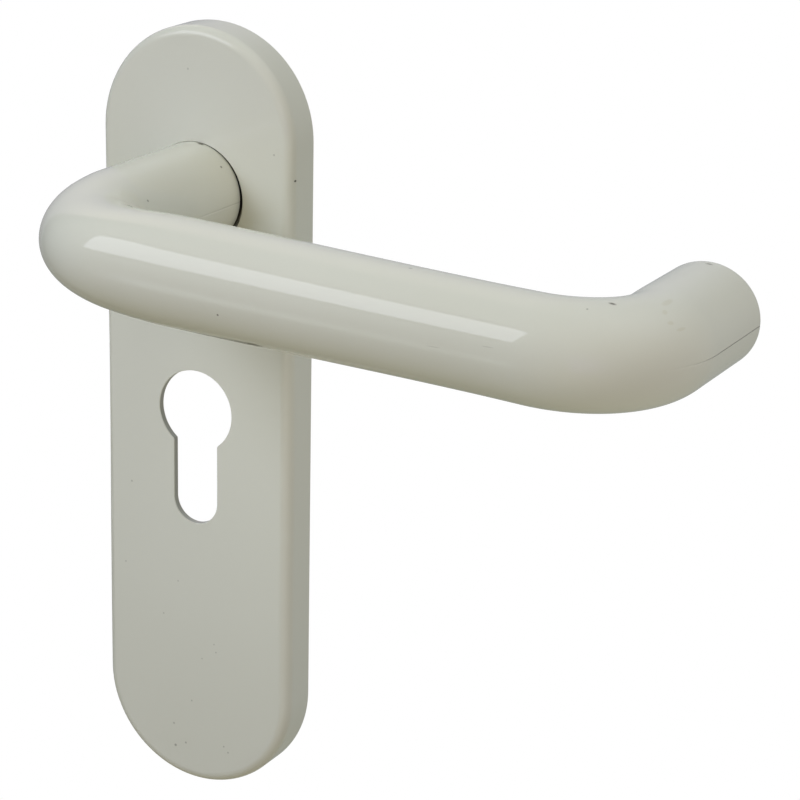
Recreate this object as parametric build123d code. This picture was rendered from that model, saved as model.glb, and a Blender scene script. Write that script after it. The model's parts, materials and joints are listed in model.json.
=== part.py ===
from build123d import *
import os
from math import asin, cos, degrees, pi, radians, sin

# A nylon lever handle on a backplate with a euro-profile cut-out, in millimetres.
# The origin is on the spindle axis, on the door's face. +X points along the lever to its
# free end, +Y goes into the door and +Z is up. Flat shapes are drawn in X and Z as seen
# from the front, and made solid between a rear y and a front y.

# Backplate cover
plate_width = 46.8
plate_height = 170.4
plate_depth = 9.3
plate_centre_z = -50.0
front_round = 2.3
front_wall = 1.5
side_wall = 1.8
inner_round = 1.2
neck_hole_radius = 11.45
neck_hole_x = 0.2
neck_hole_z = -0.27
rib_heights_z = (-34.0, -84.0, -104.0)
rib_thickness = 1.2
ledge_depth = 0.6
ledge_height = 0.8

# Euro-profile cut-out, placed by the distance from spindle to cylinder
cylinder_centre_z = -48.0
cylinder_hole_radius = 9.0
slot_half_width = 5.4
slot_end_drop = 20.3

# Steel mounting plate under the cover
steel_thickness = 2.0
cover_gap = 0.4
cup_outer_radius = 18.0
cup_inner_radius = 16.4
cup_front_y = -7.7
cup_floor = 1.5
cup_corner_round = 1.0
window_half_width = 14.5
window_top_z = -37.5
window_bottom_z = -79.0
window_corner = 4.0
screw_hole_radius = 2.25
screw_spacing_x = 24.0
screw_spacing_z = 144.0

# Lever, measured along the centre line of its round bar
lever_projection = 60.0
neck_bend_radius = 16.0
lever_length = 120.3
end_bend_radius = 17.7
lever_end_y = -19.5
neck_end_y = -8.4
neck_radius = 11.0
corner_radius = 9.6
arm_start_radius = 10.65
arm_end_radius = 10.2
return_radius = 10.4
end_round = 1.5
taper_length = 25.0
straight_neck = 30.0
bar_sections = 40
lever_droop = 2.7
neck_length = lever_projection - neck_bend_radius + neck_end_y

# Steel inside the lever
core_radius = 5.0
core_stop_short = 8.0
core_start_y = -31.5
hub_radius = 7.5
hub_outer_y = -38.0
hub_inner_y = -0.1
hub_flat = 6.6
hub_flat_front_y = -3.0
spindle_size = 8.0
spindle_front_y = -30.0
spindle_back_y = 32.0
spindle_chamfer = 0.6
socket_gap = 0.1
grub_y = -20.0
grub_radius = 2.5
grub_length = 6.0
grub_key = 2.5
grub_key_depth = 3.0
fit_gap = 0.05

# Bearing, stops and spring
bush_hole_radius = 9.0
bush_back_y = -3.2
bush_flange_radius = 10.6
bush_flange_thickness = 1.2
washer_bore_radius = 7.6
glide_back_y = -7.75
glide_front_y = -8.3
glide_radius = 10.8
thrust_back_y = -2.6
thrust_front_y = -3.1
thrust_radius = 10.2
cam_back_y = -1.3
cam_front_y = -2.5
cam_disc_radius = 10.4
cam_lug_radius = 15.6
cam_lug_half_angle = 12.0
cam_lug_angle = 112.0
lever_travel = 45.0
pin_radius = 1.1
pin_circle_radius = 14.7
pin_back_y = -1.1
retainer_back_y = -0.35
retainer_front_y = -1.25
retainer_groove_radius = 7.15
retainer_radius = 9.2
retainer_ear_radius = 1.5
retainer_ear_hole = 0.65
retainer_gap_angle = 34.0
spring_wire_radius = 0.75
spring_radius = 12.0
spring_pitch = 1.55
spring_turns = 1.25
spring_back_y = -3.4
spring_leg_length = 2.0

# Clips that hold the cover
clip_heights_z = (-27.0, -94.0)
clip_width = 8.0
clip_strip = 0.5
clip_inner_x = 12.8
clip_spring_x = 19.6
clip_top_y = -6.6
clip_tip_x = 21.2
clip_tip_y = -5.3
rivet_x = 15.6
rivet_radius = 1.2
rivet_head_radius = 2.2
rivet_head_height = 0.8

# Angles about the spindle axis, counted from +X towards +Z
lug_rest_angle = cam_lug_angle - lever_droop
pin_side_angle = degrees(asin((pin_radius + fit_gap) / pin_circle_radius))
rest_pin_angle = lug_rest_angle + cam_lug_half_angle + pin_side_angle
end_pin_angle = lug_rest_angle - lever_travel - cam_lug_half_angle - pin_side_angle
spring_front_angle = lug_rest_angle + 360 * spring_turns


# Helpers


def slab(outline, back_y, front_y):
    """Make a flat outline solid between two depths."""
    return extrude(Plane.XZ.offset(-back_y) * outline, amount=back_y - front_y)


def ring(outer_radius, inner_radius, back_y, front_y):
    return slab(Circle(outer_radius) - Circle(inner_radius), back_y, front_y)


def stadium(inset):
    """The backplate's outline, smaller all round by the inset."""
    height = plate_height - 2 * inset
    width = plate_width - 2 * inset
    return Pos(0, plate_centre_z) * SlotOverall(height, width, rotation=90)


def around(radius, angle):
    """The X-Z place of a point on a circle about the spindle axis."""
    return Pos(radius * cos(radians(angle)), radius * sin(radians(angle)))


def wedge(angle, half_angle, reach):
    """A triangle from the spindle axis out to both sides of an angle."""
    first = around(reach, angle - half_angle).position
    last = around(reach, angle + half_angle).position
    return make_face(Polyline((0, 0), (first.X, first.Y), (last.X, last.Y), close=True))


def drooped(shape):
    """Turn a piece of the lever from level to its rest position on the stop."""
    return Rot(0, lever_droop, 0) * shape


# Backplate


def keyhole():
    circle = Pos(0, cylinder_centre_z) * Circle(cylinder_hole_radius)
    slot_end_z = cylinder_centre_z - slot_end_drop
    slot_middle_z = (cylinder_centre_z + slot_end_z) / 2
    slot = Pos(0, slot_middle_z) * Rectangle(2 * slot_half_width, slot_end_drop)
    slot_end = Pos(0, slot_end_z) * Circle(slot_half_width)
    return circle + slot + slot_end


def clip_places():
    """The side and height of each clip that holds the cover."""
    return [(side, height) for height in clip_heights_z for side in (-1, 1)]


def cover_plate():
    cavity_front_y = front_wall - plate_depth
    shell = slab(stadium(0), 0, -plate_depth)
    shell = fillet(shell.edges().group_by(Axis.Y)[0], front_round)
    cavity = slab(stadium(side_wall), 0, cavity_front_y)
    shell -= fillet(cavity.edges().group_by(Axis.Y)[0], inner_round)
    wall_x = plate_width / 2 - side_wall
    for height in rib_heights_z:
        rib = Pos(0, height) * Rectangle(2 * wall_x + side_wall, rib_thickness)
        shell += slab(rib, -steel_thickness - cover_gap, cavity_front_y - front_wall / 2)
    for side, height in clip_places():
        middle_x = side * (wall_x + side_wall / 4 - ledge_depth / 2)
        ledge = Pos(middle_x, height) * Rectangle(ledge_depth + side_wall / 2, clip_width)
        ledge_front_y = clip_tip_y + clip_strip
        shell += slab(ledge, ledge_front_y + ledge_height, ledge_front_y)
    neck_hole = Pos(neck_hole_x, neck_hole_z) * Circle(neck_hole_radius)
    shell -= slab(neck_hole, 0, -plate_depth)
    shell -= slab(keyhole(), 0, -plate_depth)
    return shell


def mounting_plate():
    cup = slab(Circle(cup_outer_radius), -steel_thickness / 2, cup_front_y)
    cup = fillet(cup.edges().group_by(Axis.Y)[0], cup_corner_round)
    plate = slab(stadium(side_wall + cover_gap), 0, -steel_thickness) + cup
    plate -= slab(Circle(cup_inner_radius), 0, cup_front_y + cup_floor)

    window_height = window_top_z - window_bottom_z
    window_middle_z = (window_top_z + window_bottom_z) / 2
    window = RectangleRounded(2 * window_half_width, window_height, window_corner)
    holes = Circle(bush_hole_radius) + Pos(0, window_middle_z) * window
    for x in (-screw_spacing_x / 2, screw_spacing_x / 2):
        for z in (-screw_spacing_z / 2, screw_spacing_z / 2):
            holes += Pos(x, plate_centre_z + z) * Circle(screw_hole_radius)
    for angle in (rest_pin_angle, end_pin_angle):
        holes += around(pin_circle_radius, angle) * Circle(pin_radius + fit_gap)
    for side, height in clip_places():
        holes += Pos(side * rivet_x, height) * Circle(rivet_radius + fit_gap)
    holes += around(spring_radius, spring_front_angle) * Circle(spring_wire_radius + fit_gap)
    return plate - slab(holes, 0, cup_front_y)


def cover_clip(side, height):
    """A bent strip: a riveted foot, an upright, and a tip that hooks over a cover ledge."""
    foot_y = -steel_thickness - clip_strip / 2
    bends = Polyline(
        (clip_inner_x, foot_y),
        (clip_spring_x, foot_y),
        (clip_spring_x, clip_top_y),
        (clip_tip_x, clip_tip_y),
    )
    clip = extrude(trace(bends, clip_strip), amount=clip_width / 2, both=True)
    hole_radius = rivet_radius + fit_gap
    clip -= slab(Pos(rivet_x, 0) * Circle(hole_radius), 0, -steel_thickness - 2 * clip_strip)
    if side < 0:
        clip = mirror(clip, Plane.YZ)
    return Pos(0, 0, height) * clip


def clip_rivet(side, height):
    head_back_y = -steel_thickness - clip_strip
    rivet = slab(Circle(rivet_radius), -fit_gap, head_back_y)
    rivet += slab(Circle(rivet_head_radius), head_back_y, head_back_y - rivet_head_height)
    return Pos(side * rivet_x, 0, height) * rivet


# Bearing, stops and spring


def bearing_bush():
    body_radius = bush_hole_radius - fit_gap / 2
    flange_front_y = cup_front_y + cup_floor + fit_gap / 2
    bush = slab(Circle(body_radius), bush_back_y, cup_front_y)
    flange_back_y = flange_front_y + bush_flange_thickness
    bush += slab(Circle(bush_flange_radius), flange_back_y, flange_front_y)
    return bush - slab(Circle(hub_radius + fit_gap), bush_back_y, cup_front_y)


def stop_pin(angle):
    return slab(around(pin_circle_radius, angle) * Circle(pin_radius), pin_back_y, cup_front_y)


def return_spring():
    """A coil about the spindle axis, with one leg into the cam and one into the cup's floor."""
    coil_line = Helix(spring_pitch, spring_turns * spring_pitch, spring_radius)
    section = Plane(coil_line @ 0, z_dir=coil_line % 0) * Circle(spring_wire_radius)
    spring = sweep(section, path=coil_line)
    elbow = 1.1 * spring_wire_radius
    for end, way in ((coil_line @ 0, -1), (coil_line @ 1, 1)):
        middle = Pos(end.X, end.Y, end.Z + way * (spring_leg_length - elbow) / 2)
        spring += middle * Cylinder(spring_wire_radius, spring_leg_length + elbow)
    return Plane.XZ.offset(-spring_back_y) * Rot(0, 0, lug_rest_angle) * spring


def cam_plate():
    """A disc on the hub's flats, with a lug that the spring drives against the stops."""
    lug = Circle(cam_lug_radius) & wedge(cam_lug_angle, cam_lug_half_angle, 2 * cam_lug_radius)
    flats = Rectangle(2 * (hub_flat + fit_gap), 4 * hub_radius)
    outline = Circle(cam_disc_radius) + lug
    outline -= Circle(hub_radius + fit_gap) & flats
    outline -= around(spring_radius, cam_lug_angle) * Circle(spring_wire_radius + 2 * fit_gap)
    return slab(outline, cam_back_y, cam_front_y)


def retaining_ring():
    """An open ring in the hub's groove, with two eared ends for the pliers."""
    outline = Circle(retainer_radius) - wedge(-90, retainer_gap_angle / 2, 3 * retainer_radius)
    for side in (-1, 1):
        ear_angle = -90 + side * (retainer_gap_angle / 2 + degrees(retainer_ear_radius / retainer_radius))
        outline += around(retainer_radius, ear_angle) * Circle(retainer_ear_radius)
        outline -= around(retainer_radius, ear_angle) * Circle(retainer_ear_hole)
    outline -= Circle(retainer_groove_radius + fit_gap / 2)
    return slab(outline, retainer_back_y, retainer_front_y)


# Lever


def centre_line(start_y, end_y):
    """The lever's bar: out from the door, along the arm, and back towards the door."""
    neck_bend_y = neck_bend_radius - lever_projection
    arm_end_x = lever_length - end_bend_radius
    neck = Line((0, start_y), (0, neck_bend_y))
    first_bend = JernArc((0, neck_bend_y), (0, -1), neck_bend_radius, 90)
    arm = Line((neck_bend_radius, -lever_projection), (arm_end_x, -lever_projection))
    second_bend = JernArc((arm_end_x, -lever_projection), (1, 0), end_bend_radius, 90)
    end_bend_y = end_bend_radius - lever_projection
    last = Line((lever_length, end_bend_y), (lever_length, end_y))
    return Wire([neck.edge(), first_bend.edge(), arm.edge(), second_bend.edge(), last.edge()])


def blend(distance, knots):
    """A smooth curve through (distance, value) knots, level at each knot."""
    for (start, first), (end, last) in zip(knots, knots[1:]):
        if start <= distance <= end:
            share = (1 - cos(pi * (distance - start) / (end - start))) / 2
            return first + (last - first) * share
    return knots[-1][1]


def bar_radius(distance):
    """The bar's radius along its centre line: thick neck, slim corner, tapering arm."""
    corner = neck_length + neck_bend_radius * pi / 4
    arm_length = lever_length - neck_bend_radius - end_bend_radius
    end_corner = neck_length + neck_bend_radius * pi / 2 + arm_length + end_bend_radius * pi / 4
    knots = [
        (straight_neck, neck_radius),
        (corner, corner_radius),
        (corner + taper_length, arm_start_radius),
        (end_corner - taper_length, arm_end_radius),
        (end_corner, return_radius),
    ]
    return blend(distance, knots)


def lever_grip():
    """Straight round ends, with a smooth bar of changing radius between them."""
    line = centre_line(neck_end_y, lever_end_y)
    return_start_y = end_bend_radius - lever_projection
    bar_length = line.length - straight_neck - (lever_end_y - return_start_y)
    sections = []
    for i in range(bar_sections + 1):
        distance = straight_neck + bar_length * i / bar_sections
        share = distance / line.length
        plane = Plane(line @ share, x_dir=(0, 0, 1), z_dir=line % share)
        sections.append(plane * Circle(bar_radius(distance)))
    grip = loft(sections)
    grip += slab(Circle(neck_radius), neck_end_y, neck_end_y - straight_neck)
    end_bar = slab(Circle(return_radius), lever_end_y, return_start_y)
    grip += Pos(lever_length, 0, 0) * fillet(end_bar.edges().group_by(Axis.Y)[-1], end_round)
    grip -= slab(Circle(hub_radius + fit_gap), neck_end_y, hub_outer_y - fit_gap)
    grip -= round_bar(core_radius + fit_gap, core_start_y, lever_end_y - core_stop_short)
    hole_depth = 2 * neck_radius
    grip -= Pos(0, grub_y, -hole_depth / 2) * Cylinder(grub_radius + fit_gap, hole_depth)
    return grip


def round_bar(radius, start_y, end_y):
    line = centre_line(start_y, end_y)
    return sweep(Plane(line @ 0, z_dir=line % 0) * Circle(radius), path=line)


def lever_core():
    return round_bar(core_radius, core_start_y, lever_end_y - core_stop_short - fit_gap)


def neck_insert():
    """The steel hub: a journal, two flats for the cam, a ring groove and the square socket."""
    tail = Circle(hub_radius) & Rectangle(2 * hub_flat, 4 * hub_radius)
    hub = slab(Circle(hub_radius), hub_flat_front_y, hub_outer_y)
    hub += slab(tail, hub_inner_y, hub_flat_front_y)
    hub -= ring(2 * hub_radius, retainer_groove_radius, retainer_back_y + fit_gap,
                retainer_front_y - fit_gap / 2)
    socket_size = spindle_size + 2 * fit_gap
    hub -= slab(Rectangle(socket_size, socket_size), hub_inner_y, spindle_front_y - socket_gap)
    hub -= slab(Circle(core_radius + fit_gap / 2), core_start_y + fit_gap, hub_outer_y)
    hole_depth = 2 * hub_radius
    hub -= Pos(0, grub_y, -hole_depth / 2) * Cylinder(grub_radius + fit_gap / 2, hole_depth)
    return hub


def square_spindle():
    bar = slab(Rectangle(spindle_size, spindle_size), spindle_back_y, spindle_front_y)
    ends = bar.edges().group_by(Axis.Y)
    return chamfer(ends[0] + ends[-1], spindle_chamfer)


def grub_screw():
    """Its top bears on the spindle, and its hexagon socket is open below the neck."""
    top_z = -spindle_size / 2 - fit_gap / 2
    middle = Pos(0, grub_y, top_z - grub_length / 2)
    screw = Cylinder(grub_radius, grub_length)
    screw = chamfer(screw.edges().sort_by(Axis.Z)[-1], grub_radius / 4)
    key = RegularPolygon(grub_key / 2, 6, major_radius=False)
    screw -= Pos(0, 0, -grub_length / 2) * extrude(key, amount=grub_key_depth)
    return middle * screw


pieces = {
    "cover_plate": cover_plate(),
    "mounting_plate": mounting_plate(),
    "bearing_bush": bearing_bush(),
    "glide_washer": ring(glide_radius, washer_bore_radius, glide_back_y, glide_front_y),
    "thrust_washer": ring(thrust_radius, washer_bore_radius, thrust_back_y, thrust_front_y),
    "return_spring": return_spring(),
    "stop_pin_rest": stop_pin(rest_pin_angle),
    "stop_pin_end": stop_pin(end_pin_angle),
    "lever_grip": drooped(lever_grip()),
    "lever_core": drooped(lever_core()),
    "neck_insert": drooped(neck_insert()),
    "grub_screw": drooped(grub_screw()),
    "square_spindle": drooped(square_spindle()),
    "cam_plate": drooped(cam_plate()),
    "retaining_ring": drooped(retaining_ring()),
}
for number, (side, height) in enumerate(clip_places(), start=1):
    pieces[f"cover_clip_{number}"] = cover_clip(side, height)
    pieces[f"clip_rivet_{number}"] = clip_rivet(side, height)

os.makedirs("parts", exist_ok=True)
for name, piece in pieces.items():
    export_step(piece, f"parts/{name}.step")
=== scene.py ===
import json
from math import acos, cos, exp, pi, radians, sin

import bmesh
import bpy
from mathutils import Matrix, Vector


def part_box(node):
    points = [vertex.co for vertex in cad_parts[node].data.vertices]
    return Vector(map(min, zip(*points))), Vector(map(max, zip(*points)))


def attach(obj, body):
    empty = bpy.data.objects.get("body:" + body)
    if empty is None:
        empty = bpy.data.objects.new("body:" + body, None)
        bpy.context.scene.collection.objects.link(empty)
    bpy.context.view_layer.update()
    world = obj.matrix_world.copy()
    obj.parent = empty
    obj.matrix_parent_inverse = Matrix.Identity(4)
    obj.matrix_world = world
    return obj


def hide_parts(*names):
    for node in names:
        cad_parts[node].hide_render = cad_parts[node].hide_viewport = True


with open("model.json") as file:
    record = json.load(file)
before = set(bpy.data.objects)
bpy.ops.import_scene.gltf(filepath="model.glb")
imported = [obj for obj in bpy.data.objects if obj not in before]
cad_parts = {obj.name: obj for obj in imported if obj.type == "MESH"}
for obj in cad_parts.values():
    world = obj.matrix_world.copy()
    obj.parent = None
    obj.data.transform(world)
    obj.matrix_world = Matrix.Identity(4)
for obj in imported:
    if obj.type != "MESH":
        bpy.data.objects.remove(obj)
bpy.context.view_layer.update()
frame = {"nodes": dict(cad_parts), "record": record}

# A nylon lever handle on a backplate, in metres. The lever's nylon skin and the nylon
# cover are built here as fine meshes. The steel and plastic pieces inside keep the
# frame's shapes and get their materials here.

mm = 0.001

# Cover, inside the box of its CAD node
cover_low, cover_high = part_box("cover_plate")
cover_width = cover_high[0] - cover_low[0]
cover_height = cover_high[2] - cover_low[2]
cover_depth = cover_high[1] - cover_low[1]
cover_centre_z = (cover_high[2] + cover_low[2]) / 2
front_round = 2.3 * mm
front_round_lead = 0.15 * mm
rim_round = 0.3 * mm
front_wall = 1.5 * mm
side_wall = 1.8 * mm
inner_round = 1.2 * mm
front_y = -cover_depth
cavity_y = front_y + front_wall
hole_round = 0.15 * mm
hole_round_lead = 0.1 * mm
neck_hole_radius = 11.5 * mm
neck_hole_x = 0.15 * mm
neck_hole_z = -0.49 * mm
cylinder_centre_z = -48.0 * mm
cylinder_hole_radius = 9.0 * mm
slot_half_width = 5.4 * mm
slot_end_drop = 20.3 * mm
slot_corner_round = 0.6 * mm

# The left side's outside is pulled in evenly, and further where it bows
left_shrink = 0.35 * mm
left_bow = 0.55 * mm
left_bow_z = -38.0 * mm
left_bow_reach = 35.0 * mm

# Lever, along the centre line of its round bar
lever_projection = 60.0 * mm
neck_bend_radius = 16.0 * mm
lever_length = 120.3 * mm
end_bend_radius = 17.7 * mm
lever_end_y = -19.5 * mm
neck_end_y = -8.4 * mm
neck_radius = 11.0 * mm
corner_radius = 9.6 * mm
arm_start_radius = 10.65 * mm
arm_end_radius = 10.2 * mm
return_radius = 10.4 * mm
end_round = 1.3 * mm
neck_round = 0.9 * mm
taper_length = 25.0 * mm
straight_neck = 30.0 * mm
neck_bend_fill = 3.0 * mm
neck_fill_reach = 18.0 * mm
return_fill = 0.8 * mm
return_fill_lead = 6.0 * mm
hub_bore_radius = 7.55 * mm
hub_bore_end_y = -38.05 * mm
grub_y = -20.0 * mm
grub_hole_radius = 2.55 * mm
countersink = 0.5 * mm
countersink_depth = 0.9 * mm
lever_droop = 2.7
skin_play = 0.01 * mm
ring_spacing = 0.8 * mm

# Parting line of the lever's mould, a fine groove that shows where it was not polished away
groove_half_angle = 0.013
return_groove_depth = 0.1 * mm
neck_groove_depth = 0.04 * mm
groove_fade = 12.0 * mm


# Meshes

sharp_angle = 30


def shade(mesh):
    """Shade a mesh smooth, but for edges sharper than the sharp angle."""
    mesh.shade_smooth()
    mesh.set_sharp_from_angle(angle=radians(sharp_angle))


def new_object(name, bm):
    """Make a shaded object of a bmesh."""
    mesh = bpy.data.meshes.new(name)
    bmesh.ops.recalc_face_normals(bm, faces=bm.faces)
    bm.to_mesh(mesh)
    bm.free()
    obj = bpy.data.objects.new(name, mesh)
    bpy.context.collection.objects.link(obj)
    shade(mesh)
    return obj


def apply_modifiers(obj):
    bpy.context.view_layer.objects.active = obj
    for modifier in list(obj.modifiers):
        bpy.ops.object.modifier_apply(modifier=modifier.name)


def add_ring(bm, points):
    """Add a closed round of loose points."""
    return [bm.verts.new(point) for point in points]


def bridge(bm, rings):
    """Join each ring to the next with quads. All have the same number of points."""
    for first, second in zip(rings, rings[1:]):
        count = len(first)
        for i in range(count):
            j = (i + 1) % count
            bm.faces.new((first[i], first[j], second[j], second[i]))


def ring_edges(bm, ring):
    return [bm.edges.get((ring[i - 1], ring[i])) for i in range(len(ring))]


def quarter(radius, steps):
    """The (inset, depth) steps of a rounded edge, from the side wall to the flat face."""
    for i in range(steps + 1):
        angle = pi / 2 * i / steps
        yield radius * (1 - cos(angle)), radius * (1 - sin(angle))


# Cover


def pulled_in(x, z, inset):
    """An outline point's x, pulled in on the left: fully outside, not at all in the cavity."""
    if x >= 0 or inset >= side_wall:
        return x
    pull = left_shrink + left_bow * exp(-((z - left_bow_z) / left_bow_reach) ** 2)
    return x * (1 - pull * (1 - inset / side_wall) / (cover_width / 2))


def stadium_points(inset, y, arc_steps=64, side_steps=40):
    """The plate's outline, smaller by the inset, at one depth."""
    radius = cover_width / 2 - inset
    arc_z = (cover_height - cover_width) / 2
    points = []
    for middle, way in ((arc_z, 1), (-arc_z, -1)):
        for i in range(arc_steps):
            angle = pi * i / arc_steps
            z = cover_centre_z + middle + way * radius * sin(angle)
            points.append((pulled_in(way * radius * cos(angle), z, inset), y, z))
        for i in range(side_steps):
            z = cover_centre_z + middle - 2 * way * arc_z * i / side_steps
            points.append((pulled_in(-way * radius, z, inset), y, z))
    return points


def circle_points(radius, x, z, y, steps=128):
    angles = [2 * pi * i / steps for i in range(steps)]
    return [(x + radius * cos(a), y, z + radius * sin(a)) for a in angles]


def keyhole_points(grow, y, circle_steps=96, corner_steps=8, side_steps=10, end_steps=32):
    """The euro-profile outline, larger by the grow, at one depth."""
    radius = cylinder_hole_radius + grow
    half = slot_half_width + grow
    end_z = cylinder_centre_z - slot_end_drop
    corner_x = slot_half_width + slot_corner_round
    corner_reach = cylinder_hole_radius + slot_corner_round
    corner = acos(corner_x / corner_reach)
    corner_z = cylinder_centre_z - corner_reach * sin(corner)
    bend_radius = slot_corner_round - grow
    points = []
    for i in range(circle_steps):
        angle = -corner + (pi + 2 * corner) * i / circle_steps
        points.append((radius * cos(angle), y, cylinder_centre_z + radius * sin(angle)))
    for i in range(corner_steps):
        angle = corner * (1 - i / corner_steps)
        points.append((bend_radius * cos(angle) - corner_x, y,
                       corner_z + bend_radius * sin(angle)))
    for i in range(side_steps):
        points.append((-half, y, corner_z + (end_z - corner_z) * i / side_steps))
    for i in range(end_steps):
        angle = pi + pi * i / end_steps
        points.append((half * cos(angle), y, end_z + half * sin(angle)))
    for i in range(side_steps):
        points.append((half, y, end_z + (corner_z - end_z) * i / side_steps))
    for i in range(corner_steps):
        angle = corner * i / corner_steps
        points.append((corner_x - bend_radius * cos(angle), y,
                       corner_z + bend_radius * sin(angle)))
    return points


def fill_flat(bm, rings):
    """Fill the flat face inside the first ring and outside the others."""
    edges = []
    for ring in rings:
        edges += ring_edges(bm, ring)
    bmesh.ops.triangle_fill(bm, use_beauty=True, use_dissolve=False, edges=edges)


def neck_hole_points(grow, y):
    """The neck hole's outline, larger by the grow, at one depth."""
    return circle_points(neck_hole_radius + grow, neck_hole_x, neck_hole_z, y)


def add_hole(bm, points_at):
    """A hole's wall through the front, with a rounded front edge. Returns its first and last ring."""
    steps = [(hole_round + hole_round_lead, front_y)]
    for sink, grow in quarter(hole_round, 6):
        steps.append((grow, front_y + sink))
    steps.append((0.0, cavity_y))
    rings = [add_ring(bm, points_at(grow, y)) for grow, y in steps]
    bridge(bm, rings)
    return rings[0], rings[-1]


def make_cover():
    bm = bmesh.new()
    profile = [(front_round + front_round_lead, front_y)]
    profile += [(inset, front_y + depth) for inset, depth in reversed(list(quarter(front_round, 14)))]
    profile += [(0.0, front_y / 2)]
    profile += [(inset, -depth) for inset, depth in quarter(rim_round, 4)]
    profile += [(side_wall - rim_round / 2, 0.0), (side_wall, -rim_round / 2)]
    for inset, depth in quarter(inner_round, 6):
        profile.append((side_wall + inset, cavity_y + depth))
    rings = [add_ring(bm, stadium_points(inset, y)) for inset, y in profile]
    bridge(bm, rings)
    neck_front, neck_back = add_hole(bm, neck_hole_points)
    key_front, key_back = add_hole(bm, keyhole_points)
    fill_flat(bm, [rings[0], neck_front, key_front])
    fill_flat(bm, [rings[-1], neck_back, key_back])
    cover = new_object("cover_skin", bm)
    cover.modifiers.new("weighted", "WEIGHTED_NORMAL").keep_sharp = True
    apply_modifiers(cover)
    return cover


# Lever


def blend(distance, knots):
    """A smooth curve through (distance, value) knots, level at each knot."""
    for (start, first), (end, last) in zip(knots, knots[1:]):
        if distance <= end:
            share = (1 - cos(pi * max(0.0, distance - start) / (end - start))) / 2
            return first + (last - first) * share
    return knots[-1][1]


neck_length = lever_projection - neck_bend_radius + neck_end_y
arm_length = lever_length - neck_bend_radius - end_bend_radius
return_length = lever_end_y + lever_projection - end_bend_radius
neck_bend_length = neck_bend_radius * pi / 2
end_bend_length = end_bend_radius * pi / 2
corner_at = neck_length + neck_bend_length / 2
arm_at = neck_length + neck_bend_length
end_corner_at = arm_at + arm_length + end_bend_length / 2
return_at = arm_at + arm_length + end_bend_length
bar_length = return_at + return_length


def bar_radius(distance):
    """The bar's radius along its centre line: thick neck, slim corner, tapering arm."""
    knots = [
        (straight_neck, neck_radius),
        (corner_at, corner_radius),
        (corner_at + taper_length, arm_start_radius),
        (end_corner_at - taper_length, arm_end_radius),
        (end_corner_at, return_radius),
    ]
    return blend(distance, knots)


def bar_fill(distance):
    """How much fuller than round the bar's inner side is, in the neck's bend and at the end."""
    neck = blend(distance, [(corner_at - neck_fill_reach, 0.0), (corner_at, neck_bend_fill),
                            (corner_at + neck_fill_reach, 0.0)])
    end = blend(distance, [(end_corner_at, 0.0), (return_at + return_fill_lead, return_fill)])
    return neck + end


def bar_place(distance):
    """The centre line's point and its outward side, in the level lever's X-Y plane."""
    if distance < neck_length:
        return Vector((0, neck_end_y - distance, 0)), Vector((-1, 0, 0))
    if distance < arm_at:
        angle = (distance - neck_length) / neck_bend_radius
        side = Vector((-cos(angle), -sin(angle), 0))
        centre = Vector((neck_bend_radius, neck_bend_radius - lever_projection, 0))
        return centre + side * neck_bend_radius, side
    if distance < arm_at + arm_length:
        along = distance - arm_at
        return Vector((neck_bend_radius + along, -lever_projection, 0)), Vector((0, -1, 0))
    if distance < return_at:
        angle = (distance - arm_at - arm_length) / end_bend_radius
        side = Vector((sin(angle), -cos(angle), 0))
        centre = Vector((lever_length - end_bend_radius, end_bend_radius - lever_projection, 0))
        return centre + side * end_bend_radius, side
    along = distance - return_at
    return Vector((lever_length, end_bend_radius - lever_projection + along, 0)), Vector((1, 0, 0))


def groove_depths(distance):
    """The parting line's depth on the bar's outward side and on its inward side."""
    outward = blend(distance, [(return_at - groove_fade, 0.0), (return_at, return_groove_depth)])
    inward = blend(distance, [(neck_length - groove_fade, neck_groove_depth), (neck_length, 0.0)])
    return outward, inward


def bar_ring(distance, radius, grooves=(0.0, 0.0), steps=160):
    """A round of points about the centre line, with three points across each parting line."""
    centre, side = bar_place(distance)
    up = Vector((0, 0, 1))
    fill = bar_fill(distance)
    points = []
    for i in range(steps):
        angle = 2 * pi * i / steps
        on_line = i % (steps // 2) == 0
        offsets = (-groove_half_angle, 0.0, groove_half_angle) if on_line else (0.0,)
        for offset in offsets:
            depth = grooves[i // (steps // 2)] if on_line and offset == 0.0 else 0.0
            a = angle + offset
            out = (radius - depth) * cos(a) - fill * (1 - cos(a)) / 2
            points.append(centre + out * side + (radius - depth) * sin(a) * up)
    return points


def lever_sections():
    """(distance, radius) of the bar's rounds, from the neck's rounded end to the free end."""
    sections = [(depth, neck_radius - inset) for inset, depth in reversed(list(quarter(neck_round, 5)))]
    plain_length = bar_length - end_round - neck_round
    count = round(plain_length / ring_spacing)
    for i in range(1, count):
        distance = neck_round + plain_length * i / count
        sections.append((distance, bar_radius(distance)))
    for inset, depth in quarter(end_round, 10):
        sections.append((bar_length - depth, return_radius - inset))
    return sections


def make_lever():
    bm = bmesh.new()
    bore_length = neck_end_y - hub_bore_end_y
    rings = [add_ring(bm, bar_ring(bore_length * share, hub_bore_radius)) for share in (1.0, 0.5, 0.0)]
    for distance, radius in lever_sections():
        rings.append(add_ring(bm, bar_ring(distance, radius - skin_play, groove_depths(distance))))
    for share in (0.8, 0.5, 0.2):
        rings.append(add_ring(bm, bar_ring(bar_length, (return_radius - end_round) * share)))
    bridge(bm, rings)
    bm.faces.new(rings[0])
    bm.faces.new(rings[-1])
    lever = new_object("lever_skin", bm)
    cut_grub_hole(lever)
    lever.data.transform(Matrix.Rotation(radians(lever_droop), 4, "Y"))
    return lever


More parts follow.
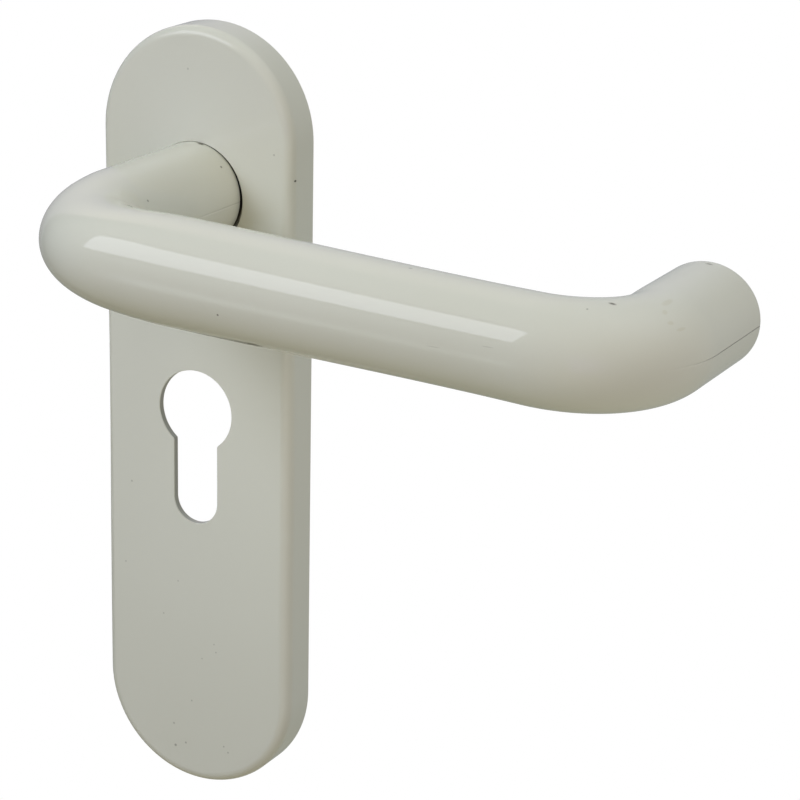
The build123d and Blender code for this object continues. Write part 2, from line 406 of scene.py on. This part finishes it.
def cut_grub_hole(lever):
    """Cut the hole for the grub screw's key through the underside of the neck."""
    bm = bmesh.new()
    mouth_radius = grub_hole_radius + countersink
    outlines = [
        (grub_hole_radius, -0.9 * hub_bore_radius),
        (grub_hole_radius, -neck_radius + countersink_depth),
        (mouth_radius, -neck_radius),
        (mouth_radius, -neck_radius - mm),
    ]
    rings = []
    for radius, z in outlines:
        circle = circle_points(radius, 0, 0, 0, steps=48)
        rings.append(add_ring(bm, [(x, grub_y + y, z) for x, _, y in circle]))
    bridge(bm, rings)
    bm.faces.new(rings[0])
    bm.faces.new(rings[-1])
    cutter = new_object("grub_cutter", bm)
    cut = lever.modifiers.new("cut", "BOOLEAN")
    cut.operation = "DIFFERENCE"
    cut.object = cutter
    apply_modifiers(lever)
    bpy.data.objects.remove(cutter)
    shade(lever.data)


# Materials


def put(tree, value, socket):
    """Link a node's output to a socket, or set the socket to a plain value."""
    if isinstance(value, bpy.types.NodeSocket):
        tree.links.new(value, socket)
    else:
        socket.default_value = value


def calc(tree, operation, first, second=0.0, clamp=False):
    node = tree.nodes.new("ShaderNodeMath")
    node.operation = operation
    node.use_clamp = clamp
    put(tree, first, node.inputs[0])
    put(tree, second, node.inputs[1])
    return node.outputs["Value"]


def vector_calc(tree, operation, first, second=(0, 0, 0)):
    node = tree.nodes.new("ShaderNodeVectorMath")
    node.operation = operation
    put(tree, first, node.inputs[0])
    put(tree, second, node.inputs[1])
    return node.outputs["Value" if operation in ("DOT_PRODUCT", "LENGTH") else "Vector"]


def split(tree, vector):
    """The x, y and z of a vector, as sockets."""
    node = tree.nodes.new("ShaderNodeSeparateXYZ")
    put(tree, vector, node.inputs["Vector"])
    return node.outputs["X"], node.outputs["Y"], node.outputs["Z"]


def remap(tree, value, low, high, new_low=0.0, new_high=1.0):
    """Move a value smoothly from new_low to new_high as it goes from low to high."""
    node = tree.nodes.new("ShaderNodeMapRange")
    node.interpolation_type = "SMOOTHSTEP"
    put(tree, value, node.inputs["Value"])
    node.inputs["From Min"].default_value = low
    node.inputs["From Max"].default_value = high
    node.inputs["To Min"].default_value = new_low
    node.inputs["To Max"].default_value = new_high
    return node.outputs["Result"]


def noise(tree, place, per_metre, detail=3.0):
    """Cloudy noise with so many features in a metre along x, y and z."""
    node = tree.nodes.new("ShaderNodeTexNoise")
    put(tree, vector_calc(tree, "MULTIPLY", place, per_metre), node.inputs["Vector"])
    node.inputs["Scale"].default_value = 1.0
    node.inputs["Detail"].default_value = detail
    return node.outputs["Fac"]


def mix_colour(tree, share, first, second):
    node = tree.nodes.new("ShaderNodeMix")
    node.data_type = "RGBA"
    put(tree, share, node.inputs["Factor"])
    for colour, socket in ((first, node.inputs["A"]), (second, node.inputs["B"])):
        put(tree, colour, socket)
    return node.outputs["Result"]


def add_bump(tree, height, shader):
    """Raise the surface by a height in metres."""
    bump = tree.nodes.new("ShaderNodeBump")
    bump.inputs["Strength"].default_value = 1.0
    bump.inputs["Distance"].default_value = 1.0
    put(tree, height, bump.inputs["Height"])
    tree.links.new(bump.outputs["Normal"], shader.inputs["Normal"])


def new_material(name):
    material = bpy.data.materials.new(name)
    material.use_nodes = True
    tree = material.node_tree
    place = tree.nodes.new("ShaderNodeTexCoord").outputs["Object"]
    return material, tree, place, tree.nodes["Principled BSDF"]


def specks(tree, place, per_metre, radius, kept):
    """Sparse round specks: a share of the cells of a grid holds one, of up to the radius."""
    cells = tree.nodes.new("ShaderNodeTexVoronoi")
    put(tree, place, cells.inputs["Vector"])
    cells.inputs["Scale"].default_value = per_metre
    pick = tree.nodes.new("ShaderNodeSeparateColor")
    tree.links.new(cells.outputs["Color"], pick.inputs["Color"])
    size = calc(tree, "MULTIPLY", pick.outputs["Green"], radius * per_metre)
    nearness = calc(tree, "SUBTRACT", size, cells.outputs["Distance"])
    spot = remap(tree, nearness, 0.0, 0.3 * radius * per_metre)
    chosen = calc(tree, "LESS_THAN", pick.outputs["Red"], kept)
    return calc(tree, "MULTIPLY", spot, chosen)


# The share of a mark's size that has its full strength
mark_core = 0.45


def marks_mask(tree, place, marks):
    """Dots and dashes, each from its centre and half sizes in millimetres, and its strength."""
    mask = 0.0
    for centre, half_size, strength in marks:
        offset = vector_calc(tree, "SUBTRACT", place, [value * mm for value in centre])
        scaled = vector_calc(tree, "DIVIDE", offset, [value * mm for value in half_size])
        spot = remap(tree, vector_calc(tree, "LENGTH", scaled), mark_core, 1.0, strength, 0.0)
        mask = calc(tree, "MAXIMUM", spot, mask)
    return mask


nylon_colour = (0.757, 0.745, 0.664, 1)
nylon_shade = (0.741, 0.729, 0.646, 1)
stain_colour = (0.66, 0.625, 0.50, 1)
# The colour that dirt, and the painted shade on the cover's hole walls, darken towards
dirt_and_shade_colour = (0.10, 0.085, 0.06, 1)
nylon_ior = 1.53
# How strong the painted shade on the cover's hole walls is
cutout_shade_strength = 0.45
neck_dirt = 0.18
return_dirt = 0.6
wave_height = 0.003 * mm
pit_depth = 0.04 * mm


def cutout_painted_shade(tree, place):
    """Painted shade on the cut walls of the cover's two holes, between its two faces: their colour is
    darkened as if they lay in shade.
    """
    x, y, z = split(tree, place)
    front = remap(tree, y, front_y + 0.1 * mm, front_y + 0.25 * mm)
    back = remap(tree, y, cavity_y - 0.1 * mm, cavity_y, 1.0, 0.0)
    beside = calc(tree, "LESS_THAN", calc(tree, "ABSOLUTE", x), 1.1 * neck_hole_radius)
    holes_middle = cylinder_centre_z / 2 - slot_half_width
    along = calc(tree, "ABSOLUTE", calc(tree, "SUBTRACT", z, holes_middle))
    within = calc(tree, "LESS_THAN", along, -0.95 * cylinder_centre_z)
    between_faces = calc(tree, "MULTIPLY", front, back)
    near_holes = calc(tree, "MULTIPLY", beside, within)
    return calc(tree, "MULTIPLY", calc(tree, "MULTIPLY", between_faces, near_holes), cutout_shade_strength)


def parting_dirt(tree, place):
    """Dirt in the open stretches of the parting line, in the plane of the bar's centre line."""
    x, y, _ = split(tree, place)
    droop = radians(lever_droop)
    height = vector_calc(tree, "DOT_PRODUCT", place, (sin(droop), 0, cos(droop)))
    line = remap(tree, calc(tree, "ABSOLUTE", height), 0.05 * mm, 0.16 * mm, 1.0, 0.0)
    outer = calc(tree, "GREATER_THAN", x, lever_length)
    last_leg = calc(tree, "MULTIPLY", outer, remap(tree, y, -52 * mm, -38 * mm, 0.0, return_dirt))
    neck_end = calc(tree, "MULTIPLY", calc(tree, "SUBTRACT", 1.0, outer),
                    remap(tree, y, -22 * mm, -14 * mm, 0.0, neck_dirt))
    return calc(tree, "MULTIPLY", line, calc(tree, "MAXIMUM", last_leg, neck_end))


def nylon(name, dark_marks, stains, dirt_and_shade_at):
    """Glossy moulded nylon, a little uneven in colour and gloss, with wear, other dark marks and stains
    at known places, and darker still where the given mask says: seam dirt on the lever, painted shade
    on the cover's hole walls.
    """
    material, tree, place, shader = new_material(name)
    shader.inputs["IOR"].default_value = nylon_ior
    clouds = noise(tree, place, (14, 14, 14), detail=2.0)
    colour = mix_colour(tree, remap(tree, clouds, 0.35, 0.65), nylon_colour, nylon_shade)
    stain = marks_mask(tree, place, stains)
    colour = mix_colour(tree, stain, colour, stain_colour)
    dust = calc(tree, "MULTIPLY", specks(tree, place, 90.0, 0.22 * mm, 0.16), 0.35)
    dark_mark = marks_mask(tree, place, dark_marks)
    specks_and_marks = calc(tree, "MAXIMUM", dust, dark_mark)
    # The given mask adds seam dirt on the lever and painted shade on the cover's cut hole walls
    dirt_and_shade = calc(tree, "MAXIMUM", specks_and_marks, dirt_and_shade_at(tree, place))
    put(tree, mix_colour(tree, dirt_and_shade, colour, dirt_and_shade_colour), shader.inputs["Base Color"])

    smudges = noise(tree, place, (45, 45, 45))
    rub = noise(tree, place, (60, 900, 900), detail=2.0)
    gloss = calc(tree, "ADD", remap(tree, smudges, 0.4, 0.75, 0.035, 0.055),
                 remap(tree, rub, 0.62, 0.8, 0.0, 0.02))
    put(tree, calc(tree, "ADD", gloss, calc(tree, "MULTIPLY", dirt_and_shade, 0.5)), shader.inputs["Roughness"])

    wave = calc(tree, "MULTIPLY", noise(tree, place, (130, 130, 130), detail=1.0), wave_height)
    pits = calc(tree, "MULTIPLY", specks_and_marks, -pit_depth)
    add_bump(tree, calc(tree, "ADD", wave, pits), shader)
    return material


def fine_finish(name, colour, second, metallic, roughness, spread, grain, grain_height, spot=None):
    """A fine-grained surface: two mottled colours, uneven roughness and a bumpy grain.

    The grain is given as its features in a metre along x, y and z. The spot is the colour of
    sparse stains, for a surface that has them."""
    material, tree, place, shader = new_material(name)
    shader.inputs["Metallic"].default_value = metallic
    mottle = remap(tree, noise(tree, place, (300, 300, 300)), 0.35, 0.68)
    tint = mix_colour(tree, mottle, (*colour, 1), (*second, 1))
    lines = noise(tree, place, grain, detail=4.0)
    if spot:
        stain = remap(tree, noise(tree, place, (420, 420, 420), detail=5.0), 0.62, 0.72, 0.0, 0.7)
        tint = mix_colour(tree, stain, tint, (*spot, 1))
    put(tree, tint, shader.inputs["Base Color"])
    put(tree, remap(tree, lines, 0.3, 0.7, roughness, roughness + spread), shader.inputs["Roughness"])
    add_bump(tree, calc(tree, "MULTIPLY", lines, grain_height), shader)
    return material


def make_finishes():
    """The material of each of the record's slots."""
    zinc, rust = (0.64, 0.65, 0.66), (0.22, 0.13, 0.07)
    return {
        # The cover's nylon has painted shade on the walls of its holes
        "nylon_cover": nylon("cover_nylon", cover_nicks, cover_stains, cutout_painted_shade),
        "nylon_lever": nylon("lever_nylon", lever_marks, lever_stains, parting_dirt),
        "zinc_plated_steel": fine_finish("zinc_plated_steel", zinc, (0.68, 0.68, 0.64), 0.75,
                                         0.22, 0.14, (2500, 2500, 180), 2e-6),
        "spindle_steel": fine_finish("spindle_steel", zinc, (0.56, 0.57, 0.60), 0.8,
                                     0.24, 0.16, (3000, 140, 3000), 3e-6, spot=(0.42, 0.40, 0.36)),
        "core_steel": fine_finish("core_steel", (0.44, 0.43, 0.42), (0.35, 0.34, 0.33), 1.0,
                                  0.36, 0.18, (160, 2600, 2600), 3e-6, spot=rust),
        "spring_wire": fine_finish("spring_wire", (0.52, 0.52, 0.53), (0.44, 0.43, 0.42), 1.0,
                                   0.22, 0.15, (1500, 4000, 1500), 2e-6),
        "spring_steel": fine_finish("spring_steel", (0.26, 0.28, 0.32), (0.34, 0.30, 0.25), 1.0,
                                    0.30, 0.15, (2600, 2600, 200), 2e-6),
        "pin_steel": fine_finish("pin_steel", (0.70, 0.70, 0.70), (0.62, 0.62, 0.63), 1.0,
                                 0.16, 0.16, (2000, 300, 2000), 2e-6),
        "black_steel": fine_finish("black_steel", (0.040, 0.040, 0.043), (0.060, 0.055, 0.050), 0.8,
                                   0.38, 0.16, (1800, 1800, 1800), 2e-6, spot=(0.12, 0.10, 0.08)),
        "bush_plastic": fine_finish("bush_plastic", (0.78, 0.76, 0.69), (0.74, 0.72, 0.65), 0.0,
                                    0.30, 0.12, (900, 900, 900), 4e-6),
        "washer_plastic": fine_finish("washer_plastic", (0.020, 0.020, 0.021),
                                      (0.028, 0.027, 0.026), 0.0,
                                      0.40, 0.15, (1100, 1100, 1100), 4e-6),
    }


# Marks on the nylon, most of them wear: each mark's centre and half sizes in millimetres, and its
# strength
plate_face = front_y / mm
cover_nicks = [
    ((23.3, -7.6, 5.2), (0.40, 0.45, 0.30), 1.0),
    ((19.2, plate_face, 10.5), (0.30, 0.40, 0.30), 0.30),
    ((-1.5, plate_face, 26.2), (0.30, 0.40, 0.30), 0.25),
] + [((x, plate_face, z), (size, 0.4, size), strength) for x, z, size, strength in (
    (-16.4, -66.9, 0.32, 0.30),
    (-18.2, -86.1, 0.28, 0.25),
    (-4.6, -88.1, 0.25, 0.25),
    (-8.4, -96.5, 0.28, 0.25),
    (4.6, -101.3, 0.25, 0.25),
    (5.1, -103.1, 0.25, 0.30),
    (1.5, -105.3, 0.25, 0.25),
    (-1.2, -116.0, 0.28, 0.30),
    (-5.9, -122.5, 0.32, 0.35),
    (-5.5, -127.8, 0.40, 0.50),
    (-2.8, -126.6, 0.32, 0.40),
    (7.1, -125.3, 0.28, 0.35),
    (8.2, -126.5, 0.28, 0.35),
)]
cover_stains = [((-6.0, plate_face, -126.0), (6.0, 1.5, 4.0), 0.03)]
lever_marks = [
    ((8.3, -12.2, 7.2), (0.35, 0.40, 0.35), 0.75),
    ((1.9, -9.8, 10.9), (1.00, 0.60, 0.70), 1.0),
    ((9.0, -41.4, 6.1), (0.35, 0.40, 0.40), 0.7),
    ((42.7, -70.1, -5.1), (0.28, 0.40, 0.28), 0.8),
    ((77.6, -60.4, 7.2), (0.90, 0.80, 0.80), 1.0),
    ((116.2, -56.9, 4.9), (1.20, 0.60, 0.35), 0.9),
    ((113.0, -61.1, 4.4), (0.25, 0.30, 0.25), 0.4),
    ((120.4, -22.2, 4.7), (0.90, 0.40, 0.70), 0.8),
    ((87.5, -70.2, -4.2), (1.80, 0.40, 0.15), 0.15),
    ((98.1, -70.0, -2.6), (1.50, 0.40, 0.15), 0.15),
] + [
    # The last six lever marks: a row of dark dashes along the underside of the arm, each stronger than
    # the one before it towards the end bend
    ((32.6 + 3.0 * step, -63.8 - 0.35 * step, -11.5 + 0.04 * step), (2.4, 1.1, 1.1), 0.3 + 0.1 * step)
    for step in range(6)
]
lever_stains = [
    ((122.9, -48.4, 4.0), (0.9, 2.6, 0.45), 0.45),
    ((123.8, -51.6, 3.0), (0.6, 0.9, 0.9), 0.45),
    ((125.2, -52.6, 1.6), (1.8, 0.9, 0.40), 0.45),
    ((127.0, -51.4, 0.4), (1.2, 1.6, 0.35), 0.45),
]


# Camera and light

view_azimuth = 27.42
view_elevation = 17.85
view_roll = 1.15
view_distance = 590.7 * mm
view_right = 39.63 * mm
view_up = -45.0 * mm
view_lens = 125.2


def direction(azimuth, elevation):
    """A unit vector, with azimuth counted from the front (-Y) towards +X."""
    a, e = radians(azimuth), radians(elevation)
    return Vector((sin(a) * cos(e), -cos(a) * cos(e), sin(e)))


def make_camera():
    back = direction(view_azimuth, view_elevation)
    right = Vector((cos(radians(view_azimuth)), sin(radians(view_azimuth)), 0))
    up = back.cross(right)
    place = back * view_distance + right * view_right + up * view_up
    roll = radians(view_roll)
    rolled_right = cos(roll) * right + sin(roll) * up
    rolled_up = -sin(roll) * right + cos(roll) * up
    data = bpy.data.cameras.new("camera")
    data.lens = view_lens
    data.clip_start = 0.01
    camera = bpy.data.objects.new("camera", data)
    bpy.context.collection.objects.link(camera)
    turn = Matrix((rolled_right, rolled_up, back)).transposed()
    camera.matrix_world = Matrix.Translation(place) @ turn.to_4x4()
    bpy.context.scene.camera = camera


# Where the lights face
handle_middle = (0.04, -0.04, -0.03)
return_end = (0.12, -0.04, 0.0)

# Softboxes: name, azimuth, elevation, distance, width, height, what it faces, glow, reflected
softboxes = [
    ("key", -38.5, 36, 0.87, 0.60, 0.40, (0.015, -0.07, 0.0), (2.36, 2.43, 2.70), True),
    ("key_fill", -30, 30, 1.00, 0.50, 0.50, handle_middle, (3.05, 3.45, 3.95), False),
    ("left_fill", -60, 40, 1.00, 0.50, 0.50, handle_middle, (0.66, 0.84, 0.98), False),
    ("front_fill", 10, 15, 1.00, 0.50, 0.50, handle_middle, (1.05, 0.85, 0.62), False),
    ("overhead", 40, 80, 0.70, 0.70, 0.70, (0.20, -0.04, 0.0), (1.32, 1.34, 1.08), False),
    ("right_fill", 85, -5, 0.35, 0.30, 0.30, return_end, (0.91, 0.76, 0.69), False),
    ("low_right_fill", 60, -30, 0.40, 0.30, 0.30, return_end, (0.52, 0.70, 0.80), False),
    ("rear_fill", -170, -12, 0.90, 0.60, 0.50, handle_middle, (2.6, 2.6, 2.5), False),
]

# Soft lobes of light on the studio's walls: name, azimuth, elevation, sharpness, glow, and the
# azimuth of the half of the room that holds the lobe, where a screen cuts it off sharply
lobes = [
    ("right_wall", 29, -4, 25.0, (0.38, 0.27, 0.62), 110),
    ("right_high", 122, 54, 6.0, (0.36, 0.42, 0.54), 110),
    ("backdrop", 180, 10, 2.0, (0.32, 0.37, 0.375), 152),
    ("backdrop_left", -140, 30, 5.0, (0.28, 0.21, 0.30), 152),
    ("backdrop_edge", -125, 45, 20.0, (0.55, 0.45, 0.32), 152),
    ("table", 0, -90, 2.0, (0.37, 0.35, 0.23), None),
    ("table_front", 21, -30, 9.0, (0.29, 0.26, 0.10), None),
    ("low_glint", -35, -17, 150.0, (0.85, 0.94, 1.00), None),
    ("lower_glint", -29, -21, 250.0, (0.50, 0.57, 0.49), None),
]
screen_sharpness = 30.0


def lobe_light(tree, place, azimuth, elevation, sharpness, glow, half_azimuth):
    """One lobe's light, falling off smoothly from its centre and cut off at its screen."""
    nearness = vector_calc(tree, "DOT_PRODUCT", place, direction(azimuth, elevation))
    falloff = calc(tree, "MULTIPLY", calc(tree, "SUBTRACT", nearness, 1.0), sharpness)
    strength = calc(tree, "EXPONENT", falloff)
    if half_azimuth is not None:
        side = vector_calc(tree, "DOT_PRODUCT", place, direction(half_azimuth, 0))
        edge = calc(tree, "ADD", calc(tree, "MULTIPLY", side, screen_sharpness), 0.5, clamp=True)
        strength = calc(tree, "MULTIPLY", strength, edge)
    node = tree.nodes.new("ShaderNodeVectorMath")
    node.operation = "SCALE"
    node.inputs[0].default_value = glow
    put(tree, strength, node.inputs["Scale"])
    return node.outputs["Vector"]


def make_world():
    """The room's light, with a plain white ground where the camera sees it directly."""
    world = bpy.data.worlds.new("studio")
    bpy.context.scene.world = world
    world.use_nodes = True
    tree = world.node_tree
    place = tree.nodes.new("ShaderNodeTexCoord").outputs["Generated"]
    total = (0.0, 0.0, 0.0)
    for name, *lobe in lobes:
        total = vector_calc(tree, "ADD", lobe_light(tree, place, *lobe), total)
    room = tree.nodes["Background"]
    put(tree, total, room.inputs["Color"])
    ground = tree.nodes.new("ShaderNodeBackground")
    ground.inputs["Color"].default_value = (1, 1, 1, 1)
    seen = tree.nodes.new("ShaderNodeLightPath").outputs["Is Camera Ray"]
    choice = tree.nodes.new("ShaderNodeMixShader")
    put(tree, seen, choice.inputs["Fac"])
    tree.links.new(room.outputs["Background"], choice.inputs[1])
    tree.links.new(ground.outputs["Background"], choice.inputs[2])
    tree.links.new(choice.outputs["Shader"], tree.nodes["World Output"].inputs["Surface"])


def add_softbox(name, azimuth, elevation, distance, width, height, target, glow, reflected):
    """An area light of the given glow, out of the camera's sight."""
    data = bpy.data.lights.new(name, "AREA")
    data.shape = "RECTANGLE"
    data.size = width
    data.size_y = height
    brightest = max(glow)
    data.color = [channel / brightest for channel in glow]
    data.energy = pi * width * height * brightest
    light = bpy.data.objects.new(name, data)
    bpy.context.collection.objects.link(light)
    back = direction(azimuth, elevation)
    right = Vector((0, 0, 1)).cross(back).normalized()
    turn = Matrix((right, back.cross(right), back)).transposed()
    light.matrix_world = Matrix.Translation(Vector(target) + back * distance) @ turn.to_4x4()
    light.visible_camera = False
    light.visible_glossy = reflected


floor_half_size = 6.0
floor_z = -0.35


def make_floor():
    """A plain white floor under the handle, for the camera only."""
    bm = bmesh.new()
    bmesh.ops.create_grid(bm, x_segments=1, y_segments=1, size=floor_half_size)
    bmesh.ops.translate(bm, verts=bm.verts, vec=(0, 0, floor_z))
    floor = new_object("floor", bm)
    material = bpy.data.materials.new("pale_floor")
    material.use_nodes = True
    tree = material.node_tree
    glow = tree.nodes.new("ShaderNodeEmission")
    glow.inputs["Color"].default_value = (1, 1, 1, 1)
    tree.links.new(glow.outputs["Emission"], tree.nodes["Material Output"].inputs["Surface"])
    floor.data.materials.append(material)
    floor.visible_diffuse = False
    floor.visible_glossy = False
    floor.visible_shadow = False


def finish_piece(piece, node, body, material):
    """Let a piece stand for a CAD node, body and material."""
    piece.data.materials.append(material)
    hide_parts(node)
    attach(piece, body)


bpy.context.scene.view_settings.view_transform = "Standard"
make_camera()
make_world()
make_floor()
for softbox in softboxes:
    add_softbox(*softbox)

finishes = make_finishes()
finish_piece(make_cover(), "cover_plate", "backplate", finishes["nylon_cover"])
finish_piece(make_lever(), "lever_grip", "lever", finishes["nylon_lever"])
for row in frame["record"]["subparts"]:
    node = frame["nodes"][row["node"]]
    node.data.materials.clear()
    node.data.materials.append(finishes[row["material_slot"]])
